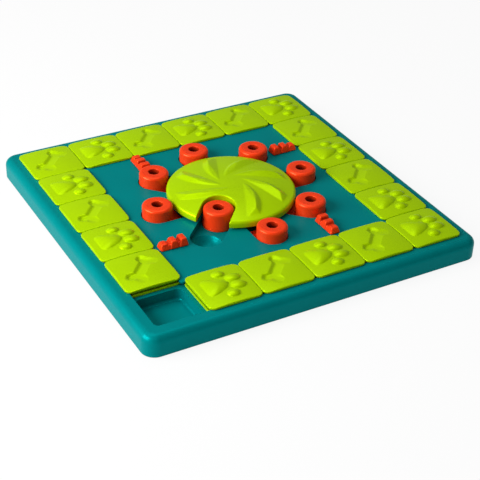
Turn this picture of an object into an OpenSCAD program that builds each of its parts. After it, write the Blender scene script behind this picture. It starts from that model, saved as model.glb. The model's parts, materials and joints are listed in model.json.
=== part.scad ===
// Treat puzzle for dogs: a square tray with a ring of sliding tiles round a
// centre deck, where a notched wheel lets one of eight drawers slide inwards.
// Millimetres. The origin is on the table under the middle of the tray, +Z up.

/* [Tray] */
// Side of one cell of the tile track
pitch = 65; // [62:1:72]
// Width of the rim outside the tile track
rim_w = 15; // [13:0.5:20]
// Height of the playing surface above the table
tray_h = 26; // [26:0.5:32]
// Corner radius of the tray, seen from above
corner_r = 16; // [14:1:24]
// Radius that rounds the top edge of the rim
edge_r = 9; // [5:0.5:11]
// Wall thickness of the tray mouldings
wall = 2; // [1.6:0.1:2.2]
// Height of the skirt's lower edge above the table
foot_h = 1; // [0.6:0.1:1.4]

/* [Tile track] */
// Thickness of the rim and of the deck, whose edges hold the tiles down
lip_t = 2.5; // [2:0.1:2.8]
// How far the rim and the deck reach over the track
lip_w = 4; // [3:0.25:5]
// Side of a treat pocket
pocket_side = 56; // [46:1:57]
// Corner radius of a treat pocket
pocket_r = 8; // [6:0.5:12]
// Radius between a pocket's wall and its floor
pocket_fillet = 3; // [2:0.5:5.5]
// Depth of a treat pocket below the ledge that the tiles run on
pocket_depth = 13.5; // [10:0.5:13.5]

/* [Tiles] */
// Gap between the caps of two tiles
tile_gap = 0.6; // [0.4:0.1:1.2]
// Thickness of a tile's cap at its corners
cap_t = 2.3; // [2:0.1:3.5]
// Corner radius of a tile's cap
cap_r = 7; // [4:0.5:9]
// Radius that rounds a cap's top edge
cap_edge = 1.2; // [0.6:0.1:1.3]
// Height of the middle of a cap above its corners
crown_h = 2.6; // [1.6:0.1:3.2]
// Thickness of the flange that runs under the lips
flange_t = 2.6; // [2:0.1:3]
// Corner radius of the flange, the neck and the opening round them
flange_r = 5; // [3:0.5:6]
// Height of a raised paw above the cap
paw_h = 2.4; // [1.2:0.1:3]
// Depth of a sunk bone
bone_depth = 1.8; // [1:0.1:2]

/* [Wheel] */
// Radius of the wheel
wheel_r = 77; // [70:1:78]
// Gap between the wheel and the deck
wheel_gap = 2; // [0.6:0.1:3]
// Height of the wheel's side, where the dome would meet it
wheel_edge_h = 8.5; // [7:0.5:12]
// Height of the dome in the middle of the wheel above its side
dome_h = 9; // [6:0.5:14]
// Radius between the dome and the wheel's side
wheel_edge_r = 4; // [2:0.5:5]
// Number of curved blades, in steps of one eighth of a turn
blades = 7; // [3:1:7]
// Angle at which a blade's front rises from the dome
blade_rise = 17; // [8:1:18]
// Width of a blade at its middle
blade_w = 17; // [12:0.5:19]
// Radius of a blade's curved back, seen from above
blade_r = 46; // [40:1:60]
// Distance from the wheel's centre to the middle of a blade
blade_at = 43.5; // [42:0.5:46]
// Distance from the wheel's centre to a blade's outer end
blade_end = 72; // [66:1:73]
// Radius of the spigot that the wheel turns on
spigot_r = 8; // [6:0.5:10]

/* [Drawers] */
// Radius from the tray's centre to a closed drawer's knob
ring_r = 97; // [97:1:100]
// How far a drawer slides inwards
drawer_travel = 45; // [38:1:45]
// Diameter of a knob
knob_d = 35.6; // [32:0.2:36]
// Height of a knob above the deck
knob_h = 14.2; // [10:0.2:18]
// Radius that rounds a knob's top edge
knob_edge = 3.5; // [1:0.5:5]
// Diameter of the hole in a knob
knob_hole_d = 13.6; // [10:0.2:16]
// Depth of the hole in a knob
knob_hole_h = 12; // [6:0.5:14]
// Thickness of a drawer's foot
foot_t = 2.2; // [1.6:0.1:2.6]
// Length of a drawer's foot inwards of the knob's centre
foot_in = 26; // [20:1:27]
// Depth of the drawer slots below the deck
slot_depth = 9; // [8.5:0.25:9.5]
// Depth of a treat bowl below the slot's floor
bowl_depth = 10; // [7:0.5:10.5]

/* [Bone locks] */
// Distance from the tray's centre to a bone lock, along its slide
lock_x = 110.5; // [109:0.5:111]
// Distance from the tray's centre to a bone lock, across its slide
lock_y = 66.5; // [65:0.5:69]
// How far a bone lock slides
lock_travel = 5; // [4:0.25:5]
// Length of a bone lock
lock_len = 35; // [30:0.5:36]
// Width of a bone lock at its wide end
lock_w = 15.5; // [12:0.5:17]
// Height of a bone lock above the deck
lock_h = 10; // [7:0.25:12]
// Width of a latch plate's tongue
tongue_w = 7; // [5:0.5:8]

/* [Fits] */
// Gap under a piece that rests on another one
seat_gap = 0.3; // [0.2:0.05:0.4]
// Gap between a tile's flange and the lips above it
lip_gap = 0.4; // [0.3:0.05:0.6]
// Gap at each side of a tile's neck and flange
side_gap = 0.5; // [0.35:0.05:0.8]
// Gap between a knob and the sides of its slot
slot_gap = 1.2; // [0.8:0.1:1.4]
// Gap between a drawer's foot and the sides of its slot
foot_gap = 0.3; // [0.2:0.05:0.5]
// Gap between a latch's tongue and the notch it goes into
latch_gap = 1.2; // [0.6:0.1:1.5]
// Gap between a knob and the sides of the wheel's notch
notch_gap = 1.8; // [1:0.1:2.2]
// Gap between a knob and the inner end of the wheel's notch, beyond notch_gap
notch_end_gap = 0.6; // [0.4:0.1:1.4]
// Radial play of the spigot in its hub
spigot_play = 0.08; // [0.04:0.01:0.1]

/* [Fasteners and feet] */
// Radius of a cover screw's shank
screw_r = 1.5; // [1.2:0.1:1.8]
// Length of a cover screw
screw_len = 11; // [8:0.5:13]
// Radius of a rubber foot
pad_r = 9; // [6:0.5:12]
// Depth of a rubber foot's seat in the cover
pad_seat = 0.8; // [0.5:0.1:1]

/* [Hidden] */
$fn = 72;

teal = [0, 0.51, 0.51];
lime = [0.67, 0.84, 0];
orange = [0.98, 0.25, 0.08];
rubber = [0.12, 0.12, 0.12];
steel = [0.7, 0.7, 0.72];

// The track is a ring of cells, six along each side of the tray
cells = 6;
track_half = cells / 2 * pitch;
deck_half = track_half - pitch;
tray_side = 2 * (track_half + rim_w);

// Levels, from the top of the tray downwards
lip_z = tray_h - lip_t;
flange_z = lip_z - lip_gap - flange_t;
ledge_z = flange_z - seat_gap;
slot_z = tray_h - slot_depth;
cap_z = tray_h + seat_gap;
cover_top = foot_h + wall;

// Drawers
knob_r = knob_d / 2;
slot_r = knob_r + slot_gap;
foot_r = slot_r - foot_gap;
foot_z = slot_z + seat_gap;
knob_top = tray_h + knob_h;
knob_z = foot_z + foot_t + seat_gap;
star_hub_r = slot_r / sin(22.5) - 1.6;
bowl_ledge = 0.5;

// Latches: a low tongue slides in from the side, into a notch in the foot of a
// diagonal drawer, whose closed knob stands at knob_xy along both axes
knob_xy = ring_r * cos(45);
latch_t = 2.8;
tongue_back = 12;
latch_z = lip_z - seat_gap - latch_t;
tongue_y = lock_y - tongue_back;
tongue_z = foot_z + 0.1;
tongue_t = foot_t - seat_gap;
tip_x = knob_xy + sqrt(pow(slot_r, 2) - pow(knob_xy - tongue_y - tongue_w / 2, 2)) + 0.4;

// Wheel and its hub. The dome is part of a large sphere.
wheel_z = tray_h + wheel_gap;
dome_r = (pow(wheel_r, 2) + pow(dome_h, 2)) / (2 * dome_h);
dome_z = wheel_z + wheel_edge_h + dome_h - dome_r;
notch_r = knob_r + notch_gap;
blade_sweep = 18;
blade_lag = 6;
hub_r = 14;
hub_z = foot_h + 8;
washer_t = 2;
wheel_screw_r = 2;

// Middle of cell i along one side of the tray
function cell(i) = (i + 0.5 - cells / 2) * pitch;

// Rectangle with round corners
module round_rect(x, y, r) {
  square([x - 2 * r, y], center = true);
  square([x, y - 2 * r], center = true);
  for (sx = [-1, 1], sy = [-1, 1])
    translate([sx * (x / 2 - r), sy * (y / 2 - r)]) circle(r);
}

// Upright section of width w and height h with two round top corners
module soft_section(w, h, r) {
  intersection() {
    translate([-w / 2, 0]) square([w, h]);
    union() {
      translate([-w / 2, 0]) square([w, h - r]);
      translate([-w / 2 + r, 0]) square([w - 2 * r, h]);
      for (s = [-1, 1]) translate([s * (w / 2 - r), h - r]) circle(r);
    }
  }
}

// Block with upright corners of radius rc and a round top edge of radius re
module soft_block(x, y, h, rc, re) {
  translate([0, y / 2 - rc, 0]) rotate([90, 0, 0])
    linear_extrude(y - 2 * rc) soft_section(x, h, re);
  translate([-x / 2 + rc, 0, 0]) rotate([90, 0, 90])
    linear_extrude(x - 2 * rc) soft_section(y, h, re);
  for (sx = [-1, 1], sy = [-1, 1])
    translate([sx * (x / 2 - rc), sy * (y / 2 - rc), 0])
      rotate_extrude() intersection() {
        soft_section(2 * rc, h, re);
        square([rc, h]);
      }
}

// The same block hanging down from z, for a tub or the pocket inside it
module hanging_block(side, depth, rc, re, z) {
  translate([0, 0, z]) mirror([0, 0, 1]) soft_block(side, side, depth, rc, re);
}

// Rim and side wall of the tray, a shell with an open bottom
module outer_rim() {
  color(teal) difference() {
    translate([0, 0, foot_h])
      soft_block(tray_side, tray_side, tray_h - foot_h, corner_r, edge_r);
    translate([0, 0, foot_h - 1])
      soft_block(tray_side - 2 * lip_t, tray_side - 2 * lip_t, lip_z - foot_h + 1,
                 corner_r - lip_t, edge_r - lip_t);
    translate([0, 0, lip_z - 1]) linear_extrude(lip_t + 2)
      round_rect(2 * (track_half - lip_w), 2 * (track_half - lip_w), flange_r);
  }
}

// Places between the tubs of a strip where a cover screw goes in
screw_cells = [1, 3];

// Five cells of the tile track: a ledge for the tiles, tubs for the treats
// and the side walls of the track. Turned in quarter turns, four make the ring.
module track_strip(turn) {
  wall_h = lip_z - ledge_z + wall;
  color(teal) rotate([0, 0, 90 * turn]) difference() {
    union() {
      translate([-track_half, -track_half, ledge_z - wall])
        cube([5 * pitch, pitch, wall]);
      translate([-track_half - wall, -track_half - wall, ledge_z - wall])
        cube([5 * pitch + wall, wall, wall_h]);
      translate([-track_half - wall, -track_half, ledge_z - wall])
        cube([wall, pitch, wall_h]);
      translate([-deck_half, -deck_half, ledge_z - wall])
        cube([2 * deck_half - wall, wall, wall_h]);
      for (i = [0:4]) translate([cell(i), cell(0), 0])
        hanging_block(pocket_side + 2 * wall, pocket_depth + wall,
                      pocket_r + wall, pocket_fillet + wall, ledge_z);
      for (i = screw_cells) translate([cell(i) + pitch / 2, cell(0), cover_top])
        cylinder(r = screw_r + 2, h = ledge_z - wall - cover_top);
    }
    for (i = [0:4]) translate([cell(i), cell(0), 0])
      hanging_block(pocket_side, pocket_depth + 0.01, pocket_r, pocket_fillet,
                    ledge_z + 0.01);
    for (i = screw_cells) translate([cell(i) + pitch / 2, cell(0), cover_top - 1])
      cylinder(r = screw_r + 0.05, h = screw_len);
  }
}

// Outline of the eight drawer slots and the round opening that joins them
module slot_star(slot, hub) {
  circle(hub);
  for (k = [0:7]) rotate(45 * k) {
    translate([0, -slot]) square([ring_r, 2 * slot]);
    translate([ring_r, 0]) circle(slot);
  }
}

// Places one lock, latch or window by quarter turns
module at_lock(n) {
  rotate([0, 0, -90 * (n - 1)]) children();
}

neck_len = 12;
neck_w = 6;

// Flat centre of the tray, with the drawer slots and the lock slots
module centre_deck() {
  color(teal) difference() {
    translate([0, 0, lip_z]) linear_extrude(lip_t)
      round_rect(2 * (deck_half + lip_w), 2 * (deck_half + lip_w), flange_r);
    translate([0, 0, lip_z - 1]) linear_extrude(lip_t + 2)
      slot_star(slot_r, star_hub_r);
    for (n = [1:4]) at_lock(n)
      translate([lock_x - neck_len / 2 - lock_travel - seat_gap,
                 lock_y - neck_w / 2 - seat_gap, lip_z - 1])
        cube([neck_len + lock_travel + 2 * seat_gap, neck_w + 2 * seat_gap, lip_t + 2]);
  }
}

// Part below height top of the ball that shapes a treat bowl, grown by extra
module bowl_ball(extra, top) {
  rim = slot_r - bowl_ledge;
  r = (pow(rim, 2) + pow(bowl_depth, 2)) / (2 * bowl_depth);
  intersection() {
    translate([0, 0, slot_z - bowl_depth + r]) sphere(r + extra);
    translate([0, 0, slot_z - bowl_depth - extra - 1])
      cylinder(r = slot_r + wall, h = top - slot_z + bowl_depth + extra + 1);
  }
}

// Treat bowls under the outer ends of the slots, against the slots' floor
module treat_bowls() {
  color(teal) for (k = [0:7]) rotate([0, 0, 45 * k]) translate([ring_r, 0, 0])
    difference() {
      bowl_ball(wall, slot_z - wall);
      bowl_ball(0, slot_z);
    }
}

// Floor and walls of the drawer slots, with a hole over each treat bowl and the
// wheel's hub
module drawer_track() {
  color(teal) difference() {
    union() {
      difference() {
        translate([0, 0, slot_z - wall]) linear_extrude(lip_z - slot_z + wall)
          slot_star(slot_r + wall, star_hub_r + wall);
        translate([0, 0, slot_z]) linear_extrude(lip_t + slot_depth)
          slot_star(slot_r, star_hub_r);
        for (k = [0:7]) rotate([0, 0, 45 * k]) translate([ring_r, 0, 0])
          bowl_ball(0, slot_z + 0.01);
        for (n = [1:4]) at_lock(n)
          translate([tip_x - 10, tongue_y - tongue_w / 2 - seat_gap, tongue_z - seat_gap])
            cube([20, tongue_w + 2 * seat_gap, slot_depth]);
      }
      translate([0, 0, hub_z]) cylinder(r = hub_r, h = wheel_z - seat_gap - hub_z);
    }
    translate([0, 0, hub_z - 1]) cylinder(r = spigot_r + spigot_play, h = wheel_z);
  }
}

// Where the four corner posts and the four rubber feet stand
post_xy = deck_half - 15;
pad_xy = track_half - 5;

// Flat bottom of the tray, screwed to the strips, with posts under the deck
module bottom_cover() {
  side = tray_side - 2 * lip_t - 2 * seat_gap;
  color(teal) difference() {
    union() {
      translate([0, 0, foot_h]) linear_extrude(wall)
        round_rect(side, side, corner_r - lip_t - seat_gap);
      for (sx = [-1, 1], sy = [-1, 1]) translate([sx * post_xy, sy * post_xy, foot_h])
        cylinder(r = 5, h = lip_z - foot_h);
    }
    for (t = [0:3]) rotate([0, 0, 90 * t]) for (i = screw_cells)
      translate([cell(i) + pitch / 2, cell(0), 0]) screw_shape(0.05);
    for (sx = [-1, 1], sy = [-1, 1]) translate([sx * pad_xy, sy * pad_xy, foot_h - 1])
      cylinder(r = pad_r + 0.1, h = 1 + pad_seat);
  }
}

// Countersunk screw, standing on its head at the cover's lower face
module screw_shape(play) {
  head_r = 2 * screw_r;
  translate([0, 0, foot_h]) {
    cylinder(r1 = head_r + play, r2 = screw_r + play, h = head_r - screw_r);
    cylinder(r = screw_r + play, h = screw_len);
  }
}

module cover_screws() {
  color(steel) for (t = [0:3]) rotate([0, 0, 90 * t]) for (i = screw_cells)
    translate([cell(i) + pitch / 2, cell(0), 0]) screw_shape(0);
}

module rubber_feet() {
  color(rubber) for (sx = [-1, 1], sy = [-1, 1])
    translate([sx * pad_xy, sy * pad_xy, 0]) cylinder(r = pad_r, h = foot_h + pad_seat);
}

// Half section of the wheel: its dome runs smoothly into its side
module wheel_section() {
  low_r = 1.5;
  round_x = wheel_r - wheel_edge_r;
  round_z = dome_z + sqrt(pow(dome_r - wheel_edge_r, 2) - pow(round_x, 2));
  meet_x = round_x * dome_r / (dome_r - wheel_edge_r);
  intersection() {
    translate([0, dome_z]) circle(dome_r, $fn = 360);
    translate([0, wheel_z]) square([meet_x, wheel_edge_h + dome_h]);
  }
  translate([round_x, round_z]) circle(wheel_edge_r);
  translate([0, wheel_z + low_r]) square([wheel_r, round_z - wheel_z - low_r]);
  translate([0, wheel_z]) square([wheel_r - low_r, 2 * low_r]);
  translate([wheel_r - low_r, wheel_z + low_r]) circle(low_r);
}

// One curved blade. Its front is the dome's own sphere, turned up about a line
// across the dome, and its back is a cone, steeper than the front.
module blade() {
  slope = 1.8;
  back_x = 2.5;
  intersection() {
    translate([0, 0, dome_z]) rotate([0, asin(blade_at / dome_r), 0])
      translate([0, 0, dome_r]) rotate([0, 0, -blade_sweep]) {
        intersection() {
          rotate([blade_rise, 0, 0]) translate([0, 0, -dome_r]) sphere(dome_r, $fn = 360);
          translate([back_x, blade_w - blade_r, -slope])
            cylinder(r1 = blade_r + slope * slope, r2 = blade_r - 10 * slope,
                     h = 10 + slope, $fn = 180);
        }
      }
    translate([0, 0, wheel_z])
      cylinder(r1 = blade_end + slope * wheel_edge_h, r2 = blade_end - slope * dome_h,
               h = wheel_edge_h + dome_h, $fn = 180);
  }
}

// Domed wheel with blades, one notch that a knob fits in, and a spigot below
module wheel() {
  color(lime) difference() {
    union() {
      rotate_extrude($fn = 180) wheel_section();
      for (k = [1:blades]) rotate([0, 0, 225 + 45 * k - blade_lag]) blade();
      translate([0, 0, hub_z - seat_gap]) cylinder(r = spigot_r, h = wheel_z - hub_z + 1);
    }
    rotate([0, 0, 225])
      translate([ring_r - drawer_travel - notch_end_gap, 0, wheel_z - 1]) {
      cylinder(r = notch_r, h = 40);
      translate([0, -notch_r, 0]) cube([wheel_r, 2 * notch_r, 40]);
    }
    translate([0, 0, hub_z - 1]) cylinder(r = wheel_screw_r + 0.05, h = 13);
  }
}

module wheel_washer() {
  color(steel) translate([0, 0, hub_z - seat_gap - washer_t]) difference() {
    cylinder(r = spigot_r + 4, h = washer_t);
    translate([0, 0, -1]) cylinder(r = wheel_screw_r + 0.1, h = washer_t + 2);
  }
}

module wheel_screw() {
  color(steel) translate([0, 0, hub_z - seat_gap - washer_t]) {
    translate([0, 0, -2]) cylinder(r = 2.2 * wheel_screw_r, h = 2);
    cylinder(r = wheel_screw_r, h = washer_t + 10);
  }
}

// Half section of a knob: a round top edge, a flare at its foot, and a grip hole
// with a lead-in
module knob_section() {
  hole_r = knob_hole_d / 2;
  flare = 0.8;
  difference() {
    union() {
      intersection() {
        translate([0, knob_z]) soft_section(2 * knob_r, knob_top - knob_z, knob_edge);
        square([knob_r, 2 * knob_top]);
      }
      translate([0, knob_z]) polygon([
        [0, 0], [knob_r + flare, 0], [knob_r + flare, 0.4], [knob_r, 3], [0, 3]
      ]);
    }
    translate([0, knob_top - knob_hole_h]) square([hole_r, knob_hole_h + 1]);
    translate([0, knob_top - 1]) polygon([[0, 0], [hole_r, 0], [hole_r + 2, 2], [0, 2]]);
  }
}

// Places what belongs to drawer n of 8. Drawer 1 is slid in.
module at_drawer(n) {
  at = n == 1 ? ring_r - drawer_travel : ring_r;
  rotate([0, 0, 225 + 45 * (n - 1)]) translate([at, 0, 0]) children();
}

// Knob of drawer n, fixed on the drawer's foot
module knob(n) {
  color(orange) at_drawer(n) rotate_extrude() knob_section();
}

// Outline of a drawer's foot: round under the knob and square towards the wheel
module foot_outline() {
  corner = 3;
  circle(foot_r);
  translate([-foot_in / 2, 0]) round_rect(foot_in, 2 * foot_r, corner);
  translate([-corner, -foot_r]) square([corner, 2 * foot_r]);
}

// Foot of drawer n. The odd drawers stand on the diagonals and have a notch for
// a latch's tongue.
module drawer(n) {
  color(orange) at_drawer(n) difference() {
    translate([0, 0, foot_z]) linear_extrude(foot_t) foot_outline();
    if (n % 2 == 1) rotate([0, 0, -45])
      translate([tip_x - lock_travel - knob_xy - latch_gap,
                 tongue_y - knob_xy - tongue_w / 2 - latch_gap, slot_z])
        cube([20, tongue_w + 2 * latch_gap, slot_depth]);
  }
}

// Block of a finger grip, with sloping ends
module grip_block(l, w, h) {
  lean = 1.3;
  intersection() {
    soft_block(l, w, h, 3, 2);
    translate([0, w / 2 + 1, 0]) rotate([90, 0, 0]) linear_extrude(w + 2)
      polygon([[-l / 2, 0.8], [-l / 2, -1], [l / 2, -1], [l / 2, 0.8],
               [l / 2 - lean, h + 1], [lean - l / 2, h + 1]]);
  }
}

// Finger grip n of 4: three blocks in a row, smaller towards the outer end, on a
// base with a neck through the deck
module bone_lock(n) {
  base_h = 2.5;
  third = lock_len / 3;
  color(orange) at_lock(n) translate([lock_x, lock_y, 0]) {
    for (b = [[-1, 1, 1], [0, 0.96, 0.94], [1, 0.64, 0.66]])
      translate([b[0] * third, 0, cap_z])
        grip_block(third - 0.4, b[1] * lock_w, b[2] * lock_h - seat_gap);
    translate([0, 0, cap_z]) linear_extrude(base_h)
      square([lock_len - 8, lock_w * 0.6], center = true);
    translate([-neck_len / 2, -neck_w / 2, lip_z - seat_gap])
      cube([neck_len, neck_w, lip_t + 2 * seat_gap + 1]);
  }
}

// Plate n of 4 under the deck, whose low tongue holds a diagonal drawer shut
module latch_plate(n) {
  plate_l = 30;
  plate_w = 15;
  inner = lock_x + 0.5 - plate_l / 2;
  riser = 2.6;
  low_y = tongue_y - tongue_w / 2;
  color(orange) at_lock(n) {
    translate([inner, low_y, latch_z])
      cube([plate_l, lock_y + plate_w / 2 - low_y, latch_t]);
    translate([tip_x + lock_travel + 0.5, low_y, latch_z])
      cube([inner - tip_x - lock_travel + 0.5, tongue_w, latch_t]);
    translate([tip_x + lock_travel + 0.5, low_y, tongue_z])
      cube([riser, tongue_w, latch_z + latch_t - tongue_z]);
    translate([tip_x, low_y, tongue_z])
      cube([lock_travel + 1, tongue_w, tongue_t]);
  }
}

// The caps' crown is part of a large sphere that passes through their corners
cap_side = pitch - tile_gap;
cap_corner = (cap_side / 2 - cap_r) * sqrt(2) + cap_r;
crown_r = (pow(cap_corner, 2) + pow(crown_h, 2)) / (2 * crown_h);
crown_z = cap_z + cap_t + crown_h - crown_r;

// Height of the crown at a distance d from the middle of a cap
function crown(d) = crown_z + sqrt(pow(crown_r, 2) - pow(d, 2));

// Round lump of radius r that stands h above the crown at (x, y), or where h is
// negative the ball that presses a dent of that depth
module lump(x, y, r, h) {
  ball = (pow(r, 2) + pow(h, 2)) / (2 * abs(h));
  side = h > 0 ? -1 : 1;
  translate([x, y, crown(norm([x, y])) + h + side * ball]) sphere(ball);
}

// Raised paw: one broad pad of four lumps, and four toes towards +X
module paw() {
  intersection() {
    union() {
      for (s = [-1, 1]) {
        lump(-12.5, 8 * s, 9, paw_h);
        lump(2, 18.6 * s, 7, paw_h);
        lump(13.3, 7.4 * s, 7.8, paw_h);
      }
      lump(-8, 0, 11, paw_h + 0.2);
      lump(-2, 0, 8.5, paw_h);
    }
    translate([-30, -30, cap_z + cap_t / 2]) cube([60, 60, 20]);
  }
}

// Sunk bone, lying aslant: a trough between two pairs of round dents
module bone() {
  shaft_w = 12;
  knuckle_x = 18.5;
  knuckle_y = 6;
  trough_r = (pow(shaft_w / 2, 2) + pow(bone_depth, 2)) / (2 * bone_depth);
  rotate([0, 0, 54]) {
    for (sx = [-1, 1], sy = [-1, 1])
      lump(sx * knuckle_x, sy * knuckle_y, 6.5, -bone_depth);
    translate([-knuckle_x, 0, crown(0) - bone_depth + trough_r]) rotate([0, 90, 0])
      cylinder(r = trough_r, h = 2 * knuckle_x);
  }
}

// Sliding tile at cell (i, j): cap, neck and flange, with a paw or a bone on top
module tile(i, j, motif) {
  neck_side = pitch - 2 * lip_w - 2 * side_gap;
  flange_side = pitch - 2 * side_gap;
  edge_z = crown(cap_side / 2 - cap_edge) - cap_z + 0.01;
  inner_side = cap_side - 2 * cap_edge;
  color(lime) translate([cell(i), cell(j), 0]) {
    translate([0, 0, flange_z]) linear_extrude(flange_t)
      round_rect(flange_side, flange_side, flange_r);
    translate([0, 0, flange_z + flange_t / 2]) linear_extrude(cap_z - flange_z)
      round_rect(neck_side, neck_side, flange_r);
    difference() {
      union() {
        intersection() {
          translate([0, 0, crown_z]) sphere(crown_r, $fn = 360);
          union() {
            translate([0, 0, cap_z])
              soft_block(cap_side, cap_side, edge_z, cap_r, cap_edge);
            translate([0, 0, cap_z + cap_t / 2]) linear_extrude(cap_t + crown_h)
              round_rect(inner_side, inner_side, cap_r - cap_edge);
          }
        }
        if (motif == "paw") paw();
      }
      if (motif == "bone") bone();
    }
  }
}

outer_rim();
track_strip(0);  // front_strip
track_strip(1);  // right_strip
track_strip(2);  // back_strip
track_strip(3);  // left_strip
centre_deck();
drawer_track();
treat_bowls();
bottom_cover();
cover_screws();
rubber_feet();
wheel();
wheel_washer();
wheel_screw();
knob(1);  // knob_1
knob(2);  // knob_2
knob(3);  // knob_3
knob(4);  // knob_4
knob(5);  // knob_5
knob(6);  // knob_6
knob(7);  // knob_7
knob(8);  // knob_8
drawer(1);  // drawer_1
drawer(2);  // drawer_2
drawer(3);  // drawer_3
drawer(4);  // drawer_4
drawer(5);  // drawer_5
drawer(6);  // drawer_6
drawer(7);  // drawer_7
drawer(8);  // drawer_8
bone_lock(1);  // bone_lock_1
bone_lock(2);  // bone_lock_2
bone_lock(3);  // bone_lock_3
bone_lock(4);  // bone_lock_4
latch_plate(1);  // latch_plate_1
latch_plate(2);  // latch_plate_2
latch_plate(3);  // latch_plate_3
latch_plate(4);  // latch_plate_4
tile(0, 1, "bone");  // left_tile_1
tile(0, 2, "paw");  // left_tile_2
tile(0, 3, "bone");  // left_tile_3
tile(0, 4, "paw");  // left_tile_4
tile(0, 5, "bone");  // left_tile_5
tile(1, 0, "paw");  // front_tile_1
tile(2, 0, "bone");  // front_tile_2
tile(3, 0, "paw");  // front_tile_3
tile(4, 0, "bone");  // front_tile_4
tile(5, 0, "paw");  // front_tile_5
tile(5, 1, "paw");  // right_tile_1
tile(5, 2, "bone");  // right_tile_2
tile(5, 3, "paw");  // right_tile_3
tile(5, 4, "bone");  // right_tile_4
tile(1, 5, "paw");  // back_tile_1
tile(2, 5, "bone");  // back_tile_2
tile(3, 5, "paw");  // back_tile_3
tile(4, 5, "bone");  // back_tile_4
tile(5, 5, "paw");  // back_tile_5
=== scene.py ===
import json
import math
import bmesh
import bpy
from mathutils import Matrix, Vector


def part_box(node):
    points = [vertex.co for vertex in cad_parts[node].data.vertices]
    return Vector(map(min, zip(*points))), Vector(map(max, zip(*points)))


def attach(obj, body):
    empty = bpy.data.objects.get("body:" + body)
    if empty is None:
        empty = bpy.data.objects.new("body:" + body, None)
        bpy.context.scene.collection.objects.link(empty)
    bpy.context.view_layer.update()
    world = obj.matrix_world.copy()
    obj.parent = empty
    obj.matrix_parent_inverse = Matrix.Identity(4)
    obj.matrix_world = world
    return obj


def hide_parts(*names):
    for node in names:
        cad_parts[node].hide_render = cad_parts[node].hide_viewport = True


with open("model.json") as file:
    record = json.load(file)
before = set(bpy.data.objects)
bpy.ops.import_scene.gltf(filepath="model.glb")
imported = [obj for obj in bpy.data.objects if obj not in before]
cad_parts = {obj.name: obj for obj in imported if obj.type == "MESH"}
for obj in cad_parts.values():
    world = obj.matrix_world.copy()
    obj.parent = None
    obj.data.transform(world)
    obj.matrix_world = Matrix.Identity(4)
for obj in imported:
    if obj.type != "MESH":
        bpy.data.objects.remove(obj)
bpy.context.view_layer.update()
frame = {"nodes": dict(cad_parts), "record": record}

# Sizes are in millimetres and angles in degrees, except where a comment gives another unit.
MM = 0.001              # metres in a millimetre
MIDDLE = (0, 0, 0)      # middle of the toy on the floor
LEVEL = 0.9             # least upright part of a level face's normal


# ---------------------------------------------------------------- camera
CAMERA_PLACE = (-0.6224, -1.0998, 0.7950)       # metres
CAMERA_ACROSS = (0.87457, -0.48398, 0.02976)    # direction of the picture's right
CAMERA_AHEAD = (0.4186, 0.7226, -0.5501)        # direction of view
CAMERA_RANGE = (0.05, 20)                       # nearest and farthest view in metres
LENS, SENSOR = 93.1, 36


def make_camera():
    """Camera above the corner with the open pocket."""
    across = Vector(CAMERA_ACROSS).normalized()
    ahead = Vector(CAMERA_AHEAD).normalized()
    ahead = (ahead - across * ahead.dot(across)).normalized()
    upward = across.cross(ahead)
    camera = bpy.data.cameras.new("camera")
    camera.sensor_width, camera.lens = SENSOR, LENS
    camera.clip_start, camera.clip_end = CAMERA_RANGE
    holder = bpy.data.objects.new("camera", camera)
    place = Matrix((across, upward, -ahead)).transposed().to_4x4()
    place.translation = Vector(CAMERA_PLACE)
    holder.matrix_world = place
    bpy.context.scene.collection.objects.link(holder)
    bpy.context.scene.camera = holder


# ---------------------------------------------------------------- lights
# Name, place and size in metres, and watts: a large low lamp on the left, a weak one above.
LAMPS = (
    ("left_lamp", (-1.25, 0.1, 0.72), (1.2, 0.8), 32),
    ("top_lamp", (0.0, 0.4, 1.6), (1.2, 1.2), 8),
)
SKY_COLOUR, SKY_STRENGTH = (1, 1, 1, 1), 0.27


def soft_lamp(name, place, size, watts):
    """A rectangular lamp that points at the middle of the toy."""
    light = bpy.data.lights.new(name, "AREA")
    light.shape = "RECTANGLE"
    light.size, light.size_y = size
    light.energy = watts
    holder = bpy.data.objects.new(name, light)
    holder.location = place
    beam = Vector(MIDDLE) - Vector(place)
    holder.rotation_euler = beam.to_track_quat("-Z", "Y").to_euler()
    bpy.context.scene.collection.objects.link(holder)


def make_lights():
    """The lamps, and a faint even sky."""
    for name, place, size, watts in LAMPS:
        soft_lamp(name, place, size, watts)
    world = bpy.data.worlds.new("studio")
    world.use_nodes = True
    bpy.context.scene.world = world
    sky = world.node_tree.nodes["Background"]
    sky.inputs["Color"].default_value = SKY_COLOUR
    sky.inputs["Strength"].default_value = SKY_STRENGTH


# ---------------------------------------------------------------- shader maths
# A Mix node has several inputs of one name, so the four that a colour mix uses go by number.
MIX_SHARE, MIX_FIRST, MIX_SECOND, MIX_RESULT = 0, 6, 7, 2


class Wire:
    """A socket of a finish's node. A sum with it adds a Math node."""

    def __init__(self, finish, socket):
        self.finish, self.socket = finish, socket

    def maths(self, operation, first, second):
        """A new wire from one operation on two wires or numbers."""
        made = self.finish.node("ShaderNodeMath", {"operation": operation}, {0: first, 1: second})
        return made["Value"]

    def __add__(self, other): return self.maths("ADD", self, other)
    def __radd__(self, other): return self.maths("ADD", other, self)
    def __sub__(self, other): return self.maths("SUBTRACT", self, other)
    def __rsub__(self, other): return self.maths("SUBTRACT", other, self)
    def __mul__(self, other): return self.maths("MULTIPLY", self, other)
    def __rmul__(self, other): return self.maths("MULTIPLY", other, self)


class Outputs:
    """A node's outputs, by name or number, as wires."""

    def __init__(self, finish, made):
        self.finish, self.made = finish, made

    def __getitem__(self, key):
        return Wire(self.finish, self.made.outputs[key])


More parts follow.
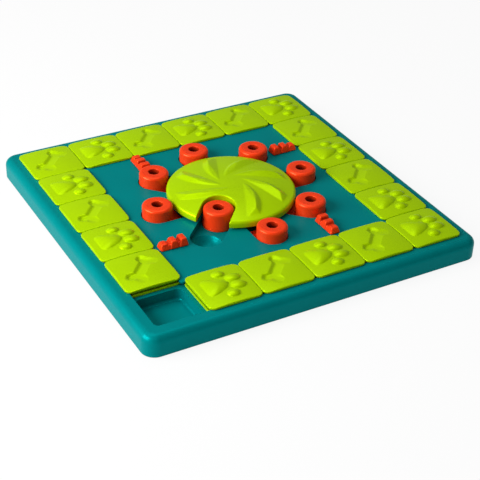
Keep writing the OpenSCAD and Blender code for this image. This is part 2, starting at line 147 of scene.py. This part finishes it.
class Finish:
    """One procedural material."""

    def __init__(self, name):
        self.material = bpy.data.materials.new(name)
        self.material.use_nodes = True
        self.tree = self.material.node_tree
        self.shader = self.tree.nodes["Principled BSDF"]
        self.output = self.tree.nodes["Material Output"]

    def join(self, value, socket):
        """Links a wire to a socket, or sets the socket to a plain value."""
        if isinstance(value, Wire):
            self.tree.links.new(value.socket, socket)
        else:
            socket.default_value = value

    def node(self, kind, settings=None, values=None):
        """Adds a node of any kind, sets it up, and gives its outputs."""
        made = self.tree.nodes.new(kind)
        for key, value in (settings or {}).items():
            setattr(made, key, value)
        for key, value in (values or {}).items():
            self.join(value, made.inputs[key])
        return Outputs(self, made)

    def mix(self, share, first, second):
        """The first colour where share is 0, and the second where it is 1."""
        made = self.node("ShaderNodeMix", {"data_type": "RGBA"},
                         {MIX_SHARE: share, MIX_FIRST: first, MIX_SECOND: second})
        return made[MIX_RESULT]

    def noise(self, place, scale, detail=2.0):
        """A cloudy pattern from 0 to 1, with scale bumps to a metre."""
        made = self.node("ShaderNodeTexNoise", None,
                         {"Vector": place, "Scale": scale, "Detail": detail})
        return made["Fac"]

    def bump(self, height, distance, strength):
        """Tilts the surface by a pattern of heights. The distance is in metres."""
        made = self.node("ShaderNodeBump", None,
                         {"Height": height, "Distance": distance, "Strength": strength})
        return made["Normal"]

    def set(self, **values):
        """Joins values to the shader's inputs, which are named with _ for a space."""
        for key, value in values.items():
            self.join(value, self.shader.inputs[key.replace("_", " ")])


# ---------------------------------------------------------------- finishes
HALF = 0.5                                      # middle value of a noise
CLOUD_SCALE, CLOUD_DETAIL = 26.0, 3.0           # clouds where the melt ran together
GRAIN_SCALE = 1500.0                            # fine grain of a spark-eroded mould
RUB_TURN, RUB_SCALE = (0, 0, 0.6), (30, 420, 420)   # radians, and streaks long in one direction
RUB_START, RUB_FULL = 0.66, 0.8                 # values of the noise where a streak starts and is full
ROUGH_BY_GRAIN, ROUGH_BY_CLOUD, ROUGH_BY_RUB = 0.14, 0.12, 0.07
CLOUD_HEIGHT = 0.6                              # height of the clouds beside that of the grain
METAL_SHARE = 0.25                              # deepens the plastics' colours
# rays that the painted shade in creases and bores takes
PAINTED_SHADE_SAMPLES = 8
MARKS_SCALE, MARKS_DETAIL = 900.0, 4.0          # marks of a cutting tool on metal
METAL_ROUGH, ROUGH_BY_MARKS = 0.3, 0.2
DUST_SCALE, DUST_DETAIL = 700.0, 4.0            # powder on rubber
RUBBER_ROUGH, ROUGH_BY_DUST = 0.7, 0.2


def moulded_plastic(name, deep, bright, painted_shade, reach, tint, rough, gleam):
    """Satin moulded plastic: flow clouds between a deep and a bright tone, a fine grain, rubbed
    streaks, and a painted shade colour in creases and bores that are narrower than reach."""
    made = Finish(name)
    place = made.node("ShaderNodeTexCoord")["Object"]
    stretched = made.node("ShaderNodeMapping", None,
                          {"Vector": place, "Rotation": RUB_TURN, "Scale": RUB_SCALE})["Vector"]
    cloud = made.noise(place, CLOUD_SCALE, CLOUD_DETAIL)
    grain = made.noise(place, GRAIN_SCALE)
    streak = made.node("ShaderNodeMapRange", None,
                       {"Value": made.noise(stretched, 1.0),
                        "From Min": RUB_START, "From Max": RUB_FULL})["Result"]
    # Painted shade: ambient occlusion within reach darkens the colour in creases and bores, where
    # shade falls.
    painted_shade_mask = made.node("ShaderNodeAmbientOcclusion",
                         {"samples": PAINTED_SHADE_SAMPLES, "only_local": True},
                         {"Distance": reach * MM})["AO"]
    clouded = made.mix(cloud, (*deep, 1), (*bright, 1))
    made.set(Base_Color=made.mix(painted_shade_mask, (*painted_shade, 1), clouded),
             Roughness=(rough + (grain - HALF) * ROUGH_BY_GRAIN + (cloud - HALF) * ROUGH_BY_CLOUD
                        + streak * ROUGH_BY_RUB),
             Metallic=METAL_SHARE, Specular_IOR_Level=gleam, Specular_Tint=(*tint, 1),
             Normal=made.bump(grain + cloud * CLOUD_HEIGHT, distance=0.00003, strength=0.3))
    return made.material


def turned_metal(name, dull, bright):
    """Zinc-plated steel with fine marks."""
    made = Finish(name)
    place = made.node("ShaderNodeTexCoord")["Object"]
    marks = made.noise(place, MARKS_SCALE, MARKS_DETAIL)
    made.set(Base_Color=made.mix(marks, (*dull, 1), (*bright, 1)),
             Metallic=1.0, Roughness=METAL_ROUGH + marks * ROUGH_BY_MARKS,
             Normal=made.bump(marks, distance=0.00004, strength=0.3))
    return made.material


def soft_rubber(name, deep, bright):
    """Matt rubber with a powdery surface."""
    made = Finish(name)
    place = made.node("ShaderNodeTexCoord")["Object"]
    dust = made.noise(place, DUST_SCALE, DUST_DETAIL)
    made.set(Base_Color=made.mix(dust, (*deep, 1), (*bright, 1)),
             Roughness=RUBBER_ROUGH + dust * ROUGH_BY_DUST,
             Normal=made.bump(dust, distance=0.0001, strength=0.4))
    return made.material


# The third colour of each plastic is painted shade for its creases and bores; on the orange knobs it
# paints the bores nearly black.
FINISHES = {
    "teal_plastic": moulded_plastic(
        "teal_plastic", deep=(0.0, 0.186, 0.19), bright=(0.0, 0.208, 0.212),
        painted_shade=(0.0, 0.11, 0.12), reach=6, tint=(0.0, 1.0, 1.0), rough=0.34, gleam=0.04),
    "lime_plastic": moulded_plastic(
        "lime_plastic", deep=(0.355, 0.585, 0.0), bright=(0.395, 0.635, 0.0),
        painted_shade=(0.15, 0.29, 0.0), reach=5, tint=(0.9, 1.0, 0.1), rough=0.3, gleam=0.1),
    "orange_plastic": moulded_plastic(
        "orange_plastic", deep=(0.86, 0.042, 0.006), bright=(0.93, 0.055, 0.008),
        painted_shade=(0.025, 0.001, 0.0005), reach=15, tint=(1.0, 0.55, 0.4), rough=0.28, gleam=0.3),
    "black_rubber": soft_rubber(
        "black_rubber", deep=(0.012, 0.012, 0.012), bright=(0.035, 0.035, 0.035)),
    "steel": turned_metal("steel", dull=(0.5, 0.5, 0.52), bright=(0.72, 0.72, 0.7)),
}
SLOTS = {part["node"]: part["material_slot"] for part in frame["record"]["subparts"]}
BODIES = {node: body for body, nodes in frame["record"]["behaviour"]["bodies"].items()
          for node in nodes}


# ---------------------------------------------------------------- helpers
WELD = 0.003            # vertices nearer than this are one
FLAT_ANGLE = 0.4        # faces that meet flatter than this are one
BEVEL_ANGLE = 35        # edges sharper than this are rounded
SMOOTH_ANGLE = 60       # edges flatter than this are shaded smooth on most pieces
TURNED_ANGLE = 40       # the same on turned pieces, whose rims stay crisp
RING_SLACK = (0.05, 0.1)    # how far off its level and its radius a ring's vertex may be


def shade_smooth(angle):
    """Shades the selected piece smooth, apart from edges sharper than an angle."""
    bpy.ops.object.shade_smooth_by_angle(angle=math.radians(angle))


def moulding(node):
    """Name of the piece that takes a node's place."""
    return node + "_moulding"


def pick(piece):
    """Leaves piece as the only selected object."""
    bpy.ops.object.select_all(action="DESELECT")
    piece.select_set(True)
    bpy.context.view_layer.objects.active = piece


def apply_modifier(piece, kind, **settings):
    """Adds a modifier, sets it up and applies it."""
    pick(piece)
    made = piece.modifiers.new(kind.lower(), kind)
    for key, value in settings.items():
        setattr(made, key, value)
    bpy.ops.object.modifier_apply(modifier=made.name)


def remesh(piece, grain):
    """Rebuilds a closed surface with faces of one size."""
    apply_modifier(piece, "REMESH", mode="VOXEL", voxel_size=grain * MM)


def polish(piece, rounds, share):
    """Blends every crease as a polished mould does, and keeps a share of the faces."""
    apply_modifier(piece, "SMOOTH", factor=0.5, iterations=rounds)
    apply_modifier(piece, "DECIMATE", ratio=share)
    shade_smooth(SMOOTH_ANGLE)


def merged_copy(node, name):
    """A copy of a node's mesh with its loose triangles merged."""
    piece = bpy.data.objects.new(name, frame["nodes"][node].data.copy())
    bpy.context.scene.collection.objects.link(piece)
    pick(piece)
    if piece.data.has_custom_normals:
        bpy.ops.mesh.customdata_custom_splitnormals_clear()
    bpy.ops.object.mode_set(mode="EDIT")
    bpy.ops.mesh.select_all(action="SELECT")
    bpy.ops.mesh.remove_doubles(threshold=WELD * MM)
    bpy.ops.object.mode_set(mode="OBJECT")
    return piece


def crisp_copy(node, width):
    """A node's form with a small round on its sharp edges."""
    piece = merged_copy(node, moulding(node))
    bpy.ops.object.mode_set(mode="EDIT")
    bpy.ops.mesh.dissolve_limited(angle_limit=math.radians(FLAT_ANGLE))
    bpy.ops.object.mode_set(mode="OBJECT")
    apply_modifier(piece, "BEVEL", width=width * MM, segments=2, limit_method="ANGLE",
                   angle_limit=math.radians(BEVEL_ANGLE))
    shade_smooth(SMOOTH_ANGLE)
    apply_modifier(piece, "WEIGHTED_NORMAL", weight=100, keep_sharp=True)
    return piece


def twin(piece, node, place):
    """A copy of piece for another node, with its own mesh moved by a matrix."""
    made = bpy.data.objects.new(moulding(node), piece.data.copy())
    bpy.context.scene.collection.objects.link(made)
    made.data.transform(place)
    return made


def centre(node):
    """Middle of a node's box in metres."""
    low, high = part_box(node)
    return (Vector(low) + Vector(high)) / 2


def corners(node):
    """Lowest and highest corner of a node's box in millimetres."""
    low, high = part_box(node)
    return Vector(low) / MM, Vector(high) / MM


def settle(piece, node):
    """Gives a piece its finish and its body, in place of the node that it stands for."""
    piece.data.materials.clear()
    piece.data.materials.append(FINISHES[SLOTS[node]])
    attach(piece, BODIES[node])
    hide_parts(node)


def settle_all(piece, first, others):
    """Settles a finished piece in its node's place, and a copy of it in each like node's."""
    for node in others:
        settle(twin(piece, node, Matrix.Translation(centre(node) - centre(first))), node)
    settle(piece, first)


def pick_level_faces(piece, side):
    """Selects, in edit mode, the level faces that look up (1) or down (-1)."""
    shape = bmesh.from_edit_mesh(piece.data)
    for face in shape.faces:
        face.select_set(face.normal.z * side > LEVEL)
    shape.select_flush_mode()
    bmesh.update_edit_mesh(piece.data)


def pick_ring(piece, middle, radius, level):
    """Selects, in edit mode, the edges of a level circle about an upright axis."""
    def on_ring(at):
        away = math.hypot(at.x - middle.x, at.y - middle.y)
        return abs(at.z - level) < RING_SLACK[0] and abs(away - radius) < RING_SLACK[1]

    bpy.ops.mesh.select_mode(type="EDGE")
    bpy.ops.mesh.select_all(action="DESELECT")
    shape = bmesh.from_edit_mesh(piece.data)
    for edge in shape.edges:
        edge.select_set(all(on_ring(vertex.co / MM) for vertex in edge.verts))
    bmesh.update_edit_mesh(piece.data)


def blank_disc(x, y, low, high, radius, sides):
    """A disc between two levels, to be shaped further, with its place in its mesh."""
    bpy.ops.object.select_all(action="DESELECT")
    bpy.ops.mesh.primitive_cylinder_add(vertices=sides, radius=radius * MM, depth=(high - low) * MM,
                                        location=(x * MM, y * MM, (high + low) / 2 * MM))
    bpy.ops.object.transform_apply(location=True, rotation=True, scale=True)
    return bpy.context.object


def block(low, high, top=(1, 1), edge=0.0):
    """A box between two corners, narrowed at its top and rounded."""
    low, high = Vector(low), Vector(high)
    bpy.ops.object.select_all(action="DESELECT")
    bpy.ops.mesh.primitive_cube_add(size=1, location=(low + high) / 2 * MM, scale=(high - low) * MM)
    piece = bpy.context.object
    bpy.ops.object.transform_apply(location=True, rotation=True, scale=True)
    bpy.ops.object.mode_set(mode="EDIT")
    bpy.ops.mesh.select_mode(type="FACE")
    pick_level_faces(piece, 1)
    bpy.ops.transform.resize(value=(*top, 1))
    bpy.ops.object.mode_set(mode="OBJECT")
    if edge:
        apply_modifier(piece, "BEVEL", width=edge * MM, segments=3)
    return piece


def joined(pieces, name):
    """Some pieces as one object."""
    pick(pieces[0])
    for piece in pieces[1:]:
        piece.select_set(True)
    bpy.ops.object.join()
    pieces[0].name = name
    return pieces[0]


def loose_middles(piece):
    """Middle of each loose part of a mesh, seen from above, in order of place."""
    shape = bmesh.new()
    shape.from_mesh(piece.data)
    left, middles = set(shape.verts), []
    while left:
        seed = left.pop()
        part, frontier = [seed], [seed]
        while frontier:
            for edge in frontier.pop().link_edges:
                for vertex in edge.verts:
                    if vertex in left:
                        left.remove(vertex)
                        part.append(vertex)
                        frontier.append(vertex)
        xs, ys = [vertex.co.x for vertex in part], [vertex.co.y for vertex in part]
        middles.append(((max(xs) + min(xs)) / 2 / MM, (max(ys) + min(ys)) / 2 / MM))
    shape.free()
    return sorted(middles)


# ---------------------------------------------------------------- tray
# Width of the round on each part's sharp edges.
TRAY_ROUNDS = {
    "outer_rim": 0.7,
    "front_strip": 0.5,
    "right_strip": 0.5,
    "back_strip": 0.5,
    "left_strip": 0.5,
    "centre_deck": 0.6,
    "drawer_track": 0.3,
    "treat_bowls": 0.3,
    "bottom_cover": 0.5,
}
PLATE_ROUND = 0.3       # round on the drawers' feet and the latch plates


def make_tray():
    """The tray's parts, each with a round on its edges."""
    for node, width in TRAY_ROUNDS.items():
        settle(crisp_copy(node, width), node)


# ---------------------------------------------------------------- tiles
PAW_TILES = ("left_tile_2", "left_tile_4", "front_tile_1", "front_tile_3", "front_tile_5",
             "right_tile_1", "right_tile_3", "back_tile_1", "back_tile_3", "back_tile_5")
BONE_TILES = ("left_tile_1", "left_tile_3", "left_tile_5", "front_tile_2", "front_tile_4",
              "right_tile_2", "right_tile_4", "back_tile_2", "back_tile_4")
CROWN_TOP = 31.2        # height of the middle of a cap
CROWN_RADIUS = 350.9    # radius of the sphere that crowns it
CAP_REACH = 29          # half the side of the square that a relief may change
CAP_DEPTH = 4.5         # depth below the crown's top at which the cap's own face ends
CAP_SLOPE = 0.55        # least upright part of the normal of the cap's own face
TILE_GRAIN = 0.5

ROUNDNESS = 0.72        # power of a raised pad's profile, 0.5 for a ball and 1 for a cone
# Middle of each toe along and beside the paw, its half length and half width, and its height.
TOES = ((14.2, 7.0, 9.2, 6.9, 2.9), (2.3, 18.4, 7.4, 6.2, 2.8))
TOE_FALL = 0.8          # how fast a toe's form falls away outside its oval
PAD_BACK, PAD_HEIGHT = 9.0, 3.0                 # place of the pad behind the paw's middle
PAD_FRONT, PAD_FLANK, PAD_HEEL = 14.8, 11.3, 14.5   # reach of its front, slanted sides and back
PAD_SLANT = (0.38, 0.925)                       # direction in which its sides look
PAD_CORNER, PAD_HEEL_CORNER, PAD_SLOPE = 3.2, 2.4, 0.65     # powers of its outline and slope

BONE_TURN, BONE_SHIFT = 48, (0.4, -0.6)         # its lie on the cap
BONE_HALF, BONE_KNUCKLE = 7.2, 5.4              # half width of its shaft, and what a knuckle adds
KNUCKLE_START, KNUCKLE_FULL = 9.5, 15.5         # where the shaft widens along its length
KNUCKLE_ROUND, ROUND_REACH, ROUND_DROP = 20.5, 6.2, 6.0     # rounding of the knuckle's corners
BONE_END, END_NOTCH, NOTCH_WIDTH = 26.0, 1.5, 3.0   # half length, and the dent between knuckles
WALL_WIDTH, END_WIDTH = 5.6, 8.0                # how far its side and end walls lean
BONE_DEPTH, BONE_SLOPE = 2.8, 0.8               # its depth, and the power of its floor's rise


def ease(low, high, value):
    """0 below low, 1 above high, and a smooth rise between them."""
    share = min(max((value - low) / (high - low), 0.0), 1.0)
    return share * share * (3 - 2 * share)


def toe_height(x, y, half_length, half_width, height):
    """Height of an oval toe at (x, y) from its middle, which falls below the cap outside it."""
    reach = (x / half_length) ** 2 + (y / half_width) ** 2
    return height * (1 - reach) ** ROUNDNESS if reach < 1 else height * (1 - reach) * TOE_FALL


def paw_relief(x, y):
    """Height above the cap of a broad three-sided pad and four oval toes."""
    y = abs(y)
    ahead = x + PAD_BACK
    side = max(PAD_SLANT[0] * ahead + PAD_SLANT[1] * y, 0.0) / PAD_FLANK
    outline = ((max(ahead, 0.0) / PAD_FRONT) ** PAD_CORNER + side ** PAD_CORNER
               + (max(-ahead, 0.0) / PAD_HEEL) ** PAD_HEEL_CORNER)
    reach = outline ** PAD_SLOPE
    pad = PAD_HEIGHT * (1 - reach) ** ROUNDNESS if reach < 1 else PAD_HEIGHT * (1 - reach)
    toes = max(toe_height(x - along, y - beside, half_length, half_width, height)
               for along, beside, half_length, half_width, height in TOES)
    return max(pad, toes, 0.0)


def bone_relief(x, y):
    """Depth of a sunk bone whose floor slopes up from a steep wall on one side."""
    turn = math.radians(BONE_TURN)
    x, y = x + BONE_SHIFT[0], y + BONE_SHIFT[1]
    along = x * math.cos(turn) + y * math.sin(turn)
    aside = y * math.cos(turn) - x * math.sin(turn)
    far = abs(along)
    half = BONE_HALF + BONE_KNUCKLE * ease(KNUCKLE_START, KNUCKLE_FULL, far)
    if far > KNUCKLE_ROUND:
        past = (far - KNUCKLE_ROUND) / ROUND_REACH
        half -= ROUND_DROP * (1 - math.sqrt(max(1 - past ** 2, 0.0)))
    end = BONE_END - END_NOTCH * math.exp(-(aside / NOTCH_WIDTH) ** 2)
    wall = ease(0.0, WALL_WIDTH, half - aside) * ease(0.0, END_WIDTH, end - far)
    rise = min(max((half - aside) / (2 * half), 0.0), 1.0)
    return -BONE_DEPTH * wall * (1 - rise) ** BONE_SLOPE


def sculpt_cap(tile, node, relief):
    """Lays a relief on the crowned top of a tile's cap."""
    middle = centre(node)
    crown, peak = CROWN_RADIUS * MM, CROWN_TOP * MM
    shape = bmesh.new()
    shape.from_mesh(tile.data)
    for vertex in shape.verts:
        x, y = vertex.co.x - middle.x, vertex.co.y - middle.y
        if (vertex.normal.z > CAP_SLOPE and vertex.co.z > peak - CAP_DEPTH * MM
                and max(abs(x), abs(y)) < CAP_REACH * MM):
            cap = peak + math.sqrt(crown ** 2 - x * x - y * y) - crown
            vertex.co.z = cap + relief(x / MM, y / MM) * MM
    shape.to_mesh(tile.data)
    shape.free()


def make_tiles():
    """One paw tile and one bone tile are finished, and the others are their copies."""
    for relief, (first, *others) in ((paw_relief, PAW_TILES), (bone_relief, BONE_TILES)):
        tile = merged_copy(first, moulding(first))
        remesh(tile, TILE_GRAIN)
        sculpt_cap(tile, first, relief)
        polish(tile, rounds=4, share=0.3)
        settle_all(tile, first, others)


# ---------------------------------------------------------------- wheel
WHEEL_GRAIN = 0.6


def make_wheel():
    """The domed wheel, with its blades' creases blended."""
    wheel = merged_copy("wheel", moulding("wheel"))
    remesh(wheel, WHEEL_GRAIN)
    polish(wheel, rounds=12, share=0.35)
    settle(wheel, "wheel")


# ---------------------------------------------------------------- drawers
DRAWERS = 8
KNOB_RADIUS, KNOB_SIDES = 17.8, 96
BORE_RADIUS, BORE_DEPTH = 6.6, 15
FOOT_RADIUS, FOOT_HEIGHT, FOOT_SOLE = 18.6, 3.0, 0.4    # flare of the knob's foot, and its sole
SHOULDER, LIP, BORE_FLOOR = (3.4, 8), (0.7, 3), (1.5, 4)    # size and steps of each round


def turned_knob(node):
    """Knob of a drawer: a flared foot, a soft shoulder, and a deep bore with a crisp rim."""
    low, high = corners(node)
    middle, top, waist = (low + high) / 2, high.z, low.z + FOOT_HEIGHT
    piece = blank_disc(middle.x, middle.y, waist, top, KNOB_RADIUS, KNOB_SIDES)
    piece.name = moulding(node)
    bpy.ops.object.mode_set(mode="EDIT")
    bpy.ops.mesh.select_mode(type="FACE")
    pick_level_faces(piece, 1)
    bpy.ops.mesh.inset(thickness=(KNOB_RADIUS - BORE_RADIUS) * MM)
    bpy.ops.mesh.extrude_region_move(TRANSFORM_OT_translate={"value": (0, 0, -BORE_DEPTH * MM)})
    for drop, wider in ((waist - low.z - FOOT_SOLE, FOOT_RADIUS / KNOB_RADIUS), (FOOT_SOLE, 1.0)):
        pick_level_faces(piece, -1)
        bpy.ops.mesh.extrude_region_move(TRANSFORM_OT_translate={"value": (0, 0, -drop * MM)})
        bpy.ops.transform.resize(value=(wider, wider, 1))
    for radius, level, (size, steps) in ((KNOB_RADIUS, top, SHOULDER), (BORE_RADIUS, top, LIP),
                                         (BORE_RADIUS, top - BORE_DEPTH, BORE_FLOOR)):
        pick_ring(piece, middle, radius, level)
        bpy.ops.mesh.bevel(offset=size * MM, segments=steps, affect="EDGES")
    bpy.ops.object.mode_set(mode="OBJECT")
    shade_smooth(TURNED_ANGLE)
    return piece


def make_drawers():
    """One knob is turned and copied to the other drawers, and each drawer's foot is softened."""
    settle_all(turned_knob("knob_1"), "knob_1", [f"knob_{n}" for n in range(2, DRAWERS + 1)])
    for n in range(1, DRAWERS + 1):
        settle(crisp_copy(f"drawer_{n}", PLATE_ROUND), f"drawer_{n}")


# ---------------------------------------------------------------- locks
LOCKS, LOCK_TURN = 4, -90           # how many, and the turn from one to the next
GRIP_BASE = 26.3                    # height at which a grip's visible part starts
NECK_HALF, NECK_LAP = (6, 3), 1     # half sizes of the neck under it, and how far it goes in
# Place of each rib in thirds of the grip, and its share of the grip's width and height.
RIBS = ((-1, 1.0, 1.0), (0, 0.95, 0.95), (1, 0.8, 0.76))
RIB_TOP, RIB_ROUND = (0.58, 0.72), 1.4              # how far its sides slope in
SADDLE_TOP, SADDLE_ROUND = (0.88, 0.7), 1.2         # the low saddle that joins the ribs
SADDLE_HEIGHT, SADDLE_SHARE = 5.6, 0.45
SADDLE_TAIL, SADDLE_NOSE = 0.6, 0.8                 # how far it stops short of the grip's ends
GRIP_GRAIN = 0.25


def ribbed_grip(node):
    """Finger grip of a lock: three ribs with sloping sides on a saddle, smaller outwards."""
    low, high = corners(node)
    x, y = (low.x + high.x) / 2, (low.y + high.y) / 2
    length, width, tall = high.x - low.x, high.y - low.y, high.z - GRIP_BASE
    third = length / 3
    pieces = [block((x - NECK_HALF[0], y - NECK_HALF[1], low.z),
                    (x + NECK_HALF[0], y + NECK_HALF[1], GRIP_BASE + NECK_LAP)),
              block((low.x + SADDLE_TAIL, y - width * SADDLE_SHARE, GRIP_BASE),
                    (high.x - SADDLE_NOSE, y + width * SADDLE_SHARE, GRIP_BASE + SADDLE_HEIGHT),
                    SADDLE_TOP, SADDLE_ROUND)]
    for shift, wide, up in RIBS:
        at = x + shift * third
        pieces.append(block((at - third / 2, y - wide * width / 2, GRIP_BASE),
                            (at + third / 2, y + wide * width / 2, GRIP_BASE + up * tall),
                            RIB_TOP, RIB_ROUND))
    piece = joined(pieces, moulding(node))
    remesh(piece, GRIP_GRAIN)
    polish(piece, rounds=5, share=0.25)
    return piece


def make_locks():
    """One grip is made and turned round the toy's middle for the others."""
    lock = ribbed_grip("bone_lock_1")
    for n in range(2, LOCKS + 1):
        turn = Matrix.Rotation(math.radians(LOCK_TURN * (n - 1)), 4, "Z")
        settle(twin(lock, f"bone_lock_{n}", turn), f"bone_lock_{n}")
    settle(lock, "bone_lock_1")
    for n in range(1, LOCKS + 1):
        settle(crisp_copy(f"latch_plate_{n}", PLATE_ROUND), f"latch_plate_{n}")


# ---------------------------------------------------------------- underside
CROSS_HALF, CROSS_THIN = 1.9, 0.42      # half length and half width of a screw's cross recess
CROSS_BELOW, CROSS_DEPTH = 0.5, 1.1     # how far the cutter stands out and goes in
SCREW_ANGLE = 30                        # edges flatter than this are shaded smooth on a screw
RING_STEPS = ((0.2, 0.0), (0.2, 0.25), (0.2, 0.25))     # inset as a share of the foot, and rise
FOOT_SIDES, FOOT_ROUND, FOOT_ANGLE = 64, 0.25, 50   # and which of its edges are rounded


def make_screws():
    """The cover's screws with their cross recesses."""
    screws = merged_copy("cover_screws", "cover_screws_turned")
    level = corners("cover_screws")[0].z
    cutters = []
    for x, y in loose_middles(screws):
        for across, along in ((CROSS_HALF, CROSS_THIN), (CROSS_THIN, CROSS_HALF)):
            cutters.append(block((x - across, y - along, level - CROSS_BELOW),
                                 (x + across, y + along, level + CROSS_DEPTH)))
    cutter = joined(cutters, "screwdriver_marks")
    apply_modifier(screws, "BOOLEAN", operation="DIFFERENCE", object=cutter, solver="EXACT",
                   use_self=True)
    bpy.data.objects.remove(cutter)
    pick(screws)
    shade_smooth(SCREW_ANGLE)
    settle(screws, "cover_screws")


def ringed_foot(x, y, low, high, radius):
    """A rubber foot whose underside is stepped in towards its middle."""
    foot = blank_disc(x, y, low, high, radius, FOOT_SIDES)
    bpy.ops.object.mode_set(mode="EDIT")
    bpy.ops.mesh.select_mode(type="FACE")
    pick_level_faces(foot, -1)
    for share, rise in RING_STEPS:
        bpy.ops.mesh.inset(thickness=share * radius * MM)
        bpy.ops.transform.translate(value=(0, 0, rise * MM))
    bpy.ops.object.mode_set(mode="OBJECT")
    apply_modifier(foot, "BEVEL", width=FOOT_ROUND * MM, segments=2, limit_method="ANGLE",
                   angle_limit=math.radians(FOOT_ANGLE))
    return foot


def make_feet():
    """The four rubber feet, made anew in the places of the plain ones."""
    low, high = corners("rubber_feet")
    plain = merged_copy("rubber_feet", "foot_places")
    spots = loose_middles(plain)
    bpy.data.objects.remove(plain)
    radius = high.x - max(x for x, y in spots)
    feet = joined([ringed_foot(x, y, low.z, high.z, radius) for x, y in spots],
                  moulding("rubber_feet"))
    shade_smooth(TURNED_ANGLE)
    settle(feet, "rubber_feet")


# ---------------------------------------------------------------- plain nodes and floor
FLOOR_SIZE = 12                                 # metres
FLOOR_COLOUR, FLOOR_ROUGH = (0.74, 0.74, 0.74, 1), 0.9
WHITE, FLOOR_GLOW = (1, 1, 1, 1), 0.9           # share of plain white that a look at the floor gets


def dress_nodes():
    """Gives every node its finish, which shows on those that no piece replaces."""
    for name, node in frame["nodes"].items():
        node.data.materials.clear()
        node.data.materials.append(FINISHES[SLOTS[name]])


def make_floor():
    """A plain floor that looks almost white and still takes the toy's shadow."""
    bpy.ops.object.select_all(action="DESELECT")
    bpy.ops.mesh.primitive_plane_add(size=FLOOR_SIZE, location=MIDDLE)
    floor = bpy.context.object
    floor.name = "floor"
    made = Finish("white_floor")
    made.set(Base_Color=FLOOR_COLOUR, Roughness=FLOOR_ROUGH)
    ray = made.node("ShaderNodeLightPath")
    glow = made.node("ShaderNodeEmission", None, {"Color": WHITE, "Strength": 1.0})["Emission"]
    seen = ray["Is Camera Ray"] + ray["Is Glossy Ray"] + ray["Is Transmission Ray"]
    lit = Wire(made, made.shader.outputs[0])
    blend = made.node("ShaderNodeMixShader", None, {0: seen * FLOOR_GLOW, 1: lit, 2: glow})
    made.join(blend["Shader"], made.output.inputs[0])
    floor.data.materials.append(made.material)


# ---------------------------------------------------------------- the whole toy
bpy.context.scene.view_settings.view_transform = "Standard"
make_camera()
make_lights()
make_floor()
dress_nodes()
make_tray()
make_tiles()
make_wheel()
make_drawers()
make_locks()
make_screws()
make_feet()
